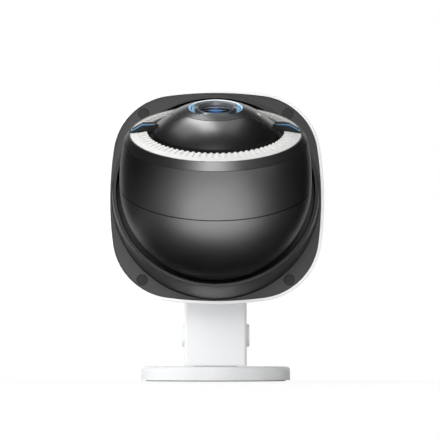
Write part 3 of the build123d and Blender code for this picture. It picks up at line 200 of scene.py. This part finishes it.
HEAD_FORWARD = 68.5 * MM
LENS_UP_DEGREES = 58
HEAD = (
    Matrix.Translation((0, -HEAD_FORWARD, PAN_AXIS_Z)) @ Matrix.Rotation(math.radians(90 - LENS_UP_DEGREES), 4, "X")
)
CELLS = 76
LIGHT_OUTER = 45.2 * MM
CELL_OUTER = 41.2 * MM
CELL_INNER = 36.2 * MM
LIGHT_TOP = 29.7 * MM
LIGHT_RISE = 1.4 * MM
LIGHT_THICK = 2.1 * MM
CELL_DEPTH = 0.5 * MM
WING_HALF = 2.8 * MM
EDGE_ROUND = 0.12 * MM
OPAL_DEPTH = 1.0 * MM
SQUARE_ON = 0.9  # a face looks along an axis where its normal's share of it is above this


def to_head(piece):
    """Move a piece made about the lens axis to its place in the raised head."""
    piece.matrix_world = HEAD @ piece.matrix_world
    bpy.ops.object.select_all(action="DESELECT")
    piece.select_set(True)
    bpy.context.view_layer.objects.active = piece
    bpy.ops.object.transform_apply(location=True, rotation=True, scale=True)


def new_piece(name):
    """Name the primitive that has just been added and return it."""
    piece = bpy.context.object
    piece.name = name
    piece.data.name = name
    return piece


def pick_faces(piece, test):
    """In edit mode, select the faces whose middle and normal pass a test."""
    bpy.ops.object.mode_set(mode="OBJECT")
    for part in (piece.data.vertices, piece.data.edges, piece.data.polygons):
        part.foreach_set("select", [False] * len(part))
    for face in piece.data.polygons:
        face.select = test(face.center, face.normal)
    bpy.ops.object.mode_set(mode="EDIT")


def soften(piece, width, segments=2, angle=30):
    """Round a piece's hard edges."""
    bevel = piece.modifiers.new("softened edges", "BEVEL")
    bevel.width = width
    bevel.segments = segments
    bevel.limit_method = "ANGLE"
    bevel.angle_limit = math.radians(angle)
    bpy.context.view_layer.objects.active = piece
    bpy.ops.object.modifier_apply(modifier=bevel.name)


def radius_of(point):
    """Distance from the lens axis."""
    return math.hypot(point.x, point.y)


def rise_at(point):
    """How far the ring's coned top stands above its outer edge."""
    return LIGHT_RISE * (LIGHT_OUTER - radius_of(point)) / (LIGHT_OUTER - CELL_INNER)


def land_or_rib(middle, normal):
    """The outer land's top and every second face of the inner band's."""
    turn = math.atan2(middle.y, middle.x) / math.tau * 2 * CELLS
    return normal.z > SQUARE_ON and (radius_of(middle) > CELL_OUTER or math.floor(turn) % 2 == 0)


bpy.ops.mesh.primitive_cylinder_add(
    vertices=2 * CELLS, radius=LIGHT_OUTER, depth=LIGHT_THICK - CELL_DEPTH,
    location=(0, 0, LIGHT_TOP - (LIGHT_THICK + CELL_DEPTH) / 2),
)
light = new_piece("ring_light_front")
bpy.ops.object.transform_apply(location=True, rotation=False, scale=False)
bpy.ops.object.mode_set(mode="EDIT")
bpy.ops.mesh.select_mode(type="FACE")
for side in (1, -1):
    pick_faces(light, lambda middle, normal: side * normal.z > SQUARE_ON)
    bpy.ops.mesh.inset(thickness=LIGHT_OUTER - CELL_OUTER, depth=0)
    bpy.ops.mesh.inset(thickness=CELL_OUTER - CELL_INNER, depth=0)
    bpy.ops.mesh.delete(type="FACE")
bpy.ops.mesh.select_mode(type="EDGE")
bpy.ops.mesh.select_all(action="DESELECT")
bpy.ops.mesh.select_non_manifold()
bpy.ops.mesh.bridge_edge_loops()
bpy.ops.mesh.select_all(action="SELECT")
bpy.ops.mesh.normals_make_consistent(inside=False)
bpy.ops.mesh.select_mode(type="FACE")
pick_faces(light, land_or_rib)
bpy.ops.mesh.extrude_region_move(TRANSFORM_OT_translate={"value": (0, 0, CELL_DEPTH)})
bpy.ops.object.mode_set(mode="OBJECT")

# The top and the cells' floors below it are coned together, higher towards the middle.
for corner in light.data.vertices:
    if corner.co.z > LIGHT_TOP - 1.5 * CELL_DEPTH:
        corner.co.z += rise_at(corner.co)
soften(light, EDGE_ROUND, 1)

# The ring is cut into its two halves where the wings cross it.
bpy.ops.object.duplicate()
rear_light = new_piece("ring_light_rear")
for half, side in ((light, -1), (rear_light, 1)):
    bpy.ops.object.select_all(action="DESELECT")
    half.select_set(True)
    bpy.context.view_layer.objects.active = half
    bpy.ops.object.mode_set(mode="EDIT")
    bpy.ops.mesh.select_all(action="SELECT")
    bpy.ops.mesh.bisect(
        plane_co=(0, side * WING_HALF, 0), plane_no=(0, side, 0), use_fill=True, clear_inner=True
    )
    bpy.ops.object.mode_set(mode="OBJECT")
    to_head(half)

# Light goes a millimetre into opal polycarbonate, so the front half is milky and evenly white.
opal = finish_for(
    "opal_polycarbonate", "#dededc", 0.35, 0.5, 0.004,
    Subsurface_Weight=0.1, Subsurface_Radius=(OPAL_DEPTH, OPAL_DEPTH, OPAL_DEPTH), Subsurface_Scale=1.0,
)
# The floors of its cells are as white, but too thin to look milky.
opal_cell = finish_for("opal_polycarbonate_thin", "#dededc", 0.3, 0.5, 0.004)
# The rear half is the same opal ring, drawn in a grey copy of its white as painted shade.
painted_shade_land = finish_for("frosted_polycarbonate", "#aeadaa", 0.28, 0.8, 0.006)
# The floors of its cells are greyer still as painted shade, so the teeth between them stand out.
painted_shade_cell = finish_for("rear_cells_painted_shade", "#7d7c7a", 0.25, 0.8, 0.006)

to_lens = HEAD.inverted()
for half, node, land, cell in (
    (light, "light_front_half", opal, opal_cell), (rear_light, "light_rear_half", painted_shade_land, painted_shade_cell)
):
    dress(land, half.name)
    half.data.materials.append(cell)
    # A cell's floor lies one cell depth under the coned top.
    for face in half.data.polygons:
        place = to_lens @ face.center
        depth = LIGHT_TOP + rise_at(place) - place.z
        if radius_of(place) < CELL_OUTER and 0.8 * CELL_DEPTH < depth < 1.2 * CELL_DEPTH:
            face.material_index = 1
    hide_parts(node)
    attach(half, "head")

# Lens island: two piano-black lobes, polished in the tool and clear-coated, with a satin band across
# them for the lens, the microphone's hole and the light sensor's window.

# Polished ABS under a clear coat is a deep black with a bright highlight, soft at its edge.
piano_black = finish_for(
    "piano_black_abs", "#060607", 0.32, 3.0, 0.0008, IOR=1.75, Coat_Weight=1.0, Coat_Roughness=0.25, Coat_IOR=1.6
)
# Satin ABS has no coat, so the highlight crosses the band as a smoother, greyer glow.
band_resin = finish_for("pc_abs_black_satin", "#29292a", 0.26, 0.25, 0.003, uneven=0.04, IOR=1.55)
# Frosted polycarbonate shows the sensor's window as one small pale dot.
sensor_window = finish_for("frosted_polycarbonate_window", "#d4d4d0", 0.25, 0.8, 0.001)

dress(piano_black, "lower_lobe", "upper_lobe")
dress(band_resin, "face_band")
dress(sensor_window, "light_sensor")

# Lens: a stepped acrylic surround with blue light painted on both sides, a grey anodised bezel, a
# domed front glass and three coated elements over the sensor.

# Ramps in millimetres on the lens's face: a mask is 0 at the first length and 1 at the second.
AT_THE_SIDES = (10.2, 12.4)
IN_THE_UPPER_HALF = (3.0, 8.0)
WITHIN_THE_RIM = (14.35, 14.1)
FROM_GROOVE, TO_GROOVE = (12.55, 12.75), (13.25, 13.05)
FROM_CREST, TO_CREST = (13.3, 13.6), (14.3, 14.1)
TOWARDS_THE_MIDDLE = (5.0, 0.0)
DARK_SEAT = "#25282c"


def lens_axes(tree):
    """The place across and along the lens's face, and the distance from its axis."""
    on_head = add(tree, "ShaderNodeMapping", {
        "Vector": add(tree, "ShaderNodeTexCoord").outputs["Object"],
        "Location": HEAD.to_translation(), "Rotation": HEAD.to_euler(),
    }, vector_type="TEXTURE")
    place = add(tree, "ShaderNodeSeparateXYZ", {"Vector": on_head.outputs["Vector"]}).outputs
    flat = add(tree, "ShaderNodeCombineXYZ", {"X": place["X"], "Y": place["Y"]})
    spread = add(tree, "ShaderNodeVectorMath", {0: flat.outputs["Vector"]}, operation="LENGTH")
    return place["X"], place["Y"], spread.outputs["Value"]


def mask(tree, *ramps):
    """The product of smooth ramps, each of a place on the lens's face and its two lengths."""
    product = None
    for value, (start, end) in ramps:
        ramp = add(tree, "ShaderNodeMapRange", {
            "Value": value, "From Min": start * MM, "From Max": end * MM,
        }, interpolation_type="SMOOTHSTEP").outputs["Result"]
        if product:
            ramp = add(tree, "ShaderNodeMath", {0: product, 1: ramp}, operation="MULTIPLY").outputs["Value"]
        product = ramp
    return product


# Clear acrylic over a dark seat, with painted blue light at its sides, painted shade in a groove there,
# and a painted highlight as a white line along the upper crest. The same painted colours also glow weakly.
surround = finish_for("acrylic_surround_painted_light", DARK_SEAT, 0.2, 1.0, 0.001, Coat_Weight=0.6)
tree = surround.node_tree
shader = tree.nodes["Principled BSDF"]
across, along, radius = lens_axes(tree)
reach = add(tree, "ShaderNodeMath", {0: across}, operation="ABSOLUTE").outputs["Value"]
lit = srgb(DARK_SEAT)
for share, colour in (
    (mask(tree, (reach, AT_THE_SIDES), (radius, WITHIN_THE_RIM)), "#8fbfe2"),
    (mask(tree, (radius, FROM_GROOVE), (radius, TO_GROOVE), (reach, AT_THE_SIDES)), "#16263a"),
    (mask(tree, (radius, FROM_CREST), (radius, TO_CREST), (along, IN_THE_UPPER_HALF)), "#dfe9ee"),
):
    lit = add(tree, "ShaderNodeMix", {"Factor": share, "A": lit, "B": srgb(colour)}, data_type="RGBA").outputs[2]
tree.links.new(lit, shader.inputs["Base Color"])
tree.links.new(lit, shader.inputs["Emission Color"])
shader.inputs["Emission Strength"].default_value = 0.25

# Coated optical glass is clear and faintly blue. The blue glint of the coatings is drawn as a weak
# glow in its middle, because the elements that make it are hidden from low in front.
front_glass = bpy.data.materials.new("optical_glass_coated")
front_glass.use_nodes = True
tree = front_glass.node_tree
shader = tree.nodes["Principled BSDF"]
radius = lens_axes(tree)[2]
glint = add(tree, "ShaderNodeMix", {
    "Factor": mask(tree, (radius, TOWARDS_THE_MIDDLE)), "A": srgb("#000000"), "B": srgb("#4f8fd6"),
}, data_type="RGBA")
tree.links.new(glint.outputs[2], shader.inputs["Emission Color"])
shader.inputs["Emission Strength"].default_value = 0.16
shader.inputs["Base Color"].default_value = srgb("#c9d6ea")
shader.inputs["Transmission Weight"].default_value = 1.0
shader.inputs["Roughness"].default_value = 0.03
shader.inputs["IOR"].default_value = 1.45

# Coated crown glass in a dark barrel is nearly black, with a blue cast.
coated_glass = finish_for("crown_glass_blue_coated", "#03070f", 0.12, 5.0, 0.0005, Specular_IOR_Level=0.3)
# Silicon is a dark blue mirror.
sensor_face = finish_for("silicon_sensor", "#1c2a3a", 0.15, 0.5, 0.001, Metallic=0.6)
# Anodised aluminium, its etch drawn coarser than real, is a grey satin line round the glass.
bezel_metal = finish_for("anodised_aluminium_grey", "#6e7073", 0.4, 0.2, 0.001, Metallic=0.6)

dress(surround, "lens_surround")
dress(bezel_metal, "lens_bezel")
dress(front_glass, "lens_glass")
dress(coated_glass, "lens_elements")
dress(sensor_face, "image_sensor")

# Wings: two moulded black fins that bridge the ring light, each with an acrylic light guide along its
# top edge that shows as a thin blue line.

WING_INNER_X = 31.9 * MM
WING_KNEE_X = 38.4 * MM
WING_TIP_X = 44.3 * MM
WING_TOP_Z = 34.35 * MM
WING_TIP_DROP = 3.3 * MM
GUIDE_T = 0.42 * MM
GUIDE_Y = -2.25 * MM

# Acrylic that carries blue light glows a little along its whole length.
guide_blue = finish_for("acrylic_blue_light_guide", "#3a7cac", 0.25, 1.0, 0.001, Emission_Strength=0.15)
guide_blue.node_tree.nodes["Principled BSDF"].inputs["Emission Color"].default_value = srgb("#5fb0e6")
# A fine-grained black moulding stays dark under the light from above.
wing_black = finish_for("moulded_black_wing", "#07090d", 0.55, 2.0, 0.001)

dress(wing_black, "wing_left", "wing_right")

for side, name in ((-1, "wing_guide_left"), (1, "wing_guide_right")):
    bpy.ops.mesh.primitive_cube_add(size=1, location=((WING_INNER_X + WING_KNEE_X) / 2, GUIDE_Y, WING_TOP_Z))
    guide = new_piece(name)
    guide.scale = (WING_KNEE_X - WING_INNER_X, 2 * GUIDE_T, GUIDE_T)
    bpy.ops.object.transform_apply(location=True, rotation=True, scale=True)
    bpy.ops.object.mode_set(mode="EDIT")
    bpy.ops.mesh.select_mode(type="FACE")
    pick_faces(guide, lambda middle, normal: normal.x > SQUARE_ON)
    bpy.ops.mesh.extrude_region_move(
        TRANSFORM_OT_translate={"value": (WING_TIP_X - WING_KNEE_X, 0, -WING_TIP_DROP)}
    )
    bpy.ops.object.mode_set(mode="OBJECT")
    soften(guide, EDGE_ROUND)
    if side < 0:
        guide.scale.x = -1
        bpy.ops.object.transform_apply(location=False, rotation=False, scale=True)
        bpy.ops.object.mode_set(mode="EDIT")
        bpy.ops.mesh.select_all(action="SELECT")
        bpy.ops.mesh.normals_make_consistent(inside=False)
        bpy.ops.object.mode_set(mode="OBJECT")
    to_head(guide)
    dress(guide_blue, name)
    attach(guide, "head")

# Studio: a pale floor that runs out to a white background. It is a little brighter far away, so that
# no horizon shows. Soft boxes light the object from the front, both sides, the table and overhead.

FLOOR_SIZE = 8
FLOOR_DROP = 0.4 * MM
NEAR_FLOOR, FAR_FLOOR = 0.06, 0.26
NEAR_FLOOR_SHARE = 0.92
FILL_LIGHT = 0.26


def shown(tree):
    """1 for a ray from the camera, also one off metal or through glass, and 0 for light on the object."""
    ray = add(tree, "ShaderNodeLightPath").outputs
    total = ray["Is Camera Ray"]
    for kind in ("Is Glossy Ray", "Is Transmission Ray"):
        total = add(tree, "ShaderNodeMath", {0: total, 1: ray[kind]}, operation="ADD").outputs["Value"]
    return total


bpy.ops.mesh.primitive_plane_add(size=FLOOR_SIZE, location=(0, 0, -FLOOR_DROP))
floor = new_piece("studio_floor")

# Matt white paper is as white as the background far away, and keeps a faint shadow near the object.
floor_paint = bpy.data.materials.new("studio_floor_white")
floor_paint.use_nodes = True
tree = floor_paint.node_tree
shader = tree.nodes["Principled BSDF"]
shader.inputs["Base Color"].default_value = srgb("#f2f2f2")
shader.inputs["Roughness"].default_value = 0.9
away = add(tree, "ShaderNodeVectorMath", {
    0: add(tree, "ShaderNodeTexCoord").outputs["Object"],
}, operation="LENGTH")
white = add(tree, "ShaderNodeMapRange", {
    "Value": away.outputs["Value"], "From Min": NEAR_FLOOR, "From Max": FAR_FLOOR, "To Min": NEAR_FLOOR_SHARE,
}, interpolation_type="SMOOTHSTEP")
share = add(tree, "ShaderNodeMath", {0: shown(tree), 1: white.outputs["Result"]}, operation="MULTIPLY")
plain = add(tree, "ShaderNodeEmission", {"Color": srgb("#ffffff"), "Strength": 1.0})
both = add(tree, "ShaderNodeMixShader", {
    0: share.outputs["Value"], 1: shader.outputs["BSDF"], 2: plain.outputs["Emission"],
})
tree.links.new(both.outputs["Shader"], tree.nodes["Material Output"].inputs["Surface"])
dress(floor_paint, "studio_floor")

world = bpy.data.worlds.new("studio")
bpy.context.scene.world = world
world.use_nodes = True
tree = world.node_tree
level = add(tree, "ShaderNodeMapRange", {"Value": shown(tree), "To Min": FILL_LIGHT})
tree.nodes["Background"].inputs["Color"].default_value = srgb("#ffffff")
tree.links.new(level.outputs["Result"], tree.nodes["Background"].inputs["Strength"])

# Each soft box has a place, a point that it is aimed at, a width and a height in metres, its watts, and
# whether glossy surfaces reflect it.
SOFTBOXES = {
    "front_softbox": ((-0.04, -1.0, 0.30), (0, 0, 0.11), 0.35, 0.4, 3.6, True),
    "table_glow": ((0, -0.2, 0.002), (0, -0.2, 0.1), 0.2, 0.13, 0.245, True),
    "left_softbox": ((-0.5, -0.28, 0.24), (0, 0, 0.1), 0.35, 0.4, 1.8, False),
    "rim_softbox": ((-0.9, 0.1, 0.2), (0, 0, 0.1), 0.2, 0.5, 1.2, True),
    "right_softbox": ((0.9, -0.7, 0.05), (0, 0, 0.02), 0.3, 0.1, 0.8, True),
    "top_softbox": ((-0.13, -0.1, 0.62), (-0.02, -0.06, 0.1), 0.76, 0.14, 1.5, True),
}
for name, (place, aim, width, height, watts, reflected) in SOFTBOXES.items():
    lamp = bpy.data.lights.new(name, "AREA")
    lamp.shape = "RECTANGLE"
    lamp.size = width
    lamp.size_y = height
    lamp.energy = watts
    box = bpy.data.objects.new(name, lamp)
    bpy.context.scene.collection.objects.link(box)
    box.location = place
    box.rotation_euler = (Vector(aim) - Vector(place)).to_track_quat("-Z", "Y").to_euler()
    box.visible_glossy = reflected

# Flags: black cards at both sides, at the front right, high in front and behind, and round and above the
# foot, that show only in gloss and through glass. They give the head its dark sides and the lens its
# depth, and stop no light.

SIDEWAYS = (0, math.pi / 2, 0)
UPRIGHT = (math.pi / 2, 0, 0)

# Velvet card is black from every side.
black_card = finish_for("black_velvet_card", "#050505", 0.9, 1.0, 0.02)

# Each flag has the place of its middle, its turn, and its two sides in metres.
FLAGS = {
    "left_flag": ((-0.26, -0.2, 0.16), SIDEWAYS, (0.34, 0.92)),
    "far_left_flag": ((-0.45, -0.09, 0.45), SIDEWAYS, (0.5, 1.2)),
    "right_flag": ((0.2, -0.07, 0.3), SIDEWAYS, (0.6, 0.54)),
    "table_flag": ((0, 0.085, -0.0002), (0, 0, 0), (0.4, 0.43)),
    "back_flag": ((0, 0.0825, 0.483), (math.radians(-43.5), 0, 0), (1.0, 0.241)),
    "high_flag": ((0, -0.45, 0.47), (math.radians(45), 0, 0), (1.0, 0.36)),
    "right_front_flag": ((0.47, -0.6, 0.28), UPRIGHT, (0.7, 0.72)),
    "under_flag": ((0, -0.05, 0.022), UPRIGHT, (0.18, 0.04)),
}
for name, (place, turn, sides) in FLAGS.items():
    bpy.ops.mesh.primitive_plane_add(size=1, location=place, rotation=turn)
    flag = new_piece(name)
    flag.scale = (*sides, 1)
    bpy.ops.object.transform_apply(location=True, rotation=True, scale=True)
    for ray_kind in ("visible_camera", "visible_diffuse", "visible_shadow"):
        setattr(flag, ray_kind, False)
    dress(black_card, name)

# View: level with the foot, from about 0.6 m in front of the housing, with a longish lens. The
# photograph's upright lines stay parallel, so part of the upward look comes from the lens's shift.

FOCAL_PX = 1027.6
IMAGE_PX = 440
SENSOR_MM = 36
LOOK_UP_RADIANS = 0.113
SHIFT_Y = 0.08
CENTRE_LEFT_PX = 4.3
VIEW_DISTANCE = 617.4 * MM
VIEW_HEIGHT = 5.4 * MM

lens = bpy.data.cameras.new("view")
lens.sensor_width = SENSOR_MM
lens.lens = SENSOR_MM * FOCAL_PX / IMAGE_PX
lens.shift_x = CENTRE_LEFT_PX / IMAGE_PX
lens.shift_y = SHIFT_Y
view = bpy.data.objects.new("view", lens)
bpy.context.scene.collection.objects.link(view)
view.location = (0, -VIEW_DISTANCE, VIEW_HEIGHT)
view.rotation_euler = (math.pi / 2 + LOOK_UP_RADIANS, 0, 0)
bpy.context.scene.camera = view
bpy.context.scene.view_settings.view_transform = "Standard"
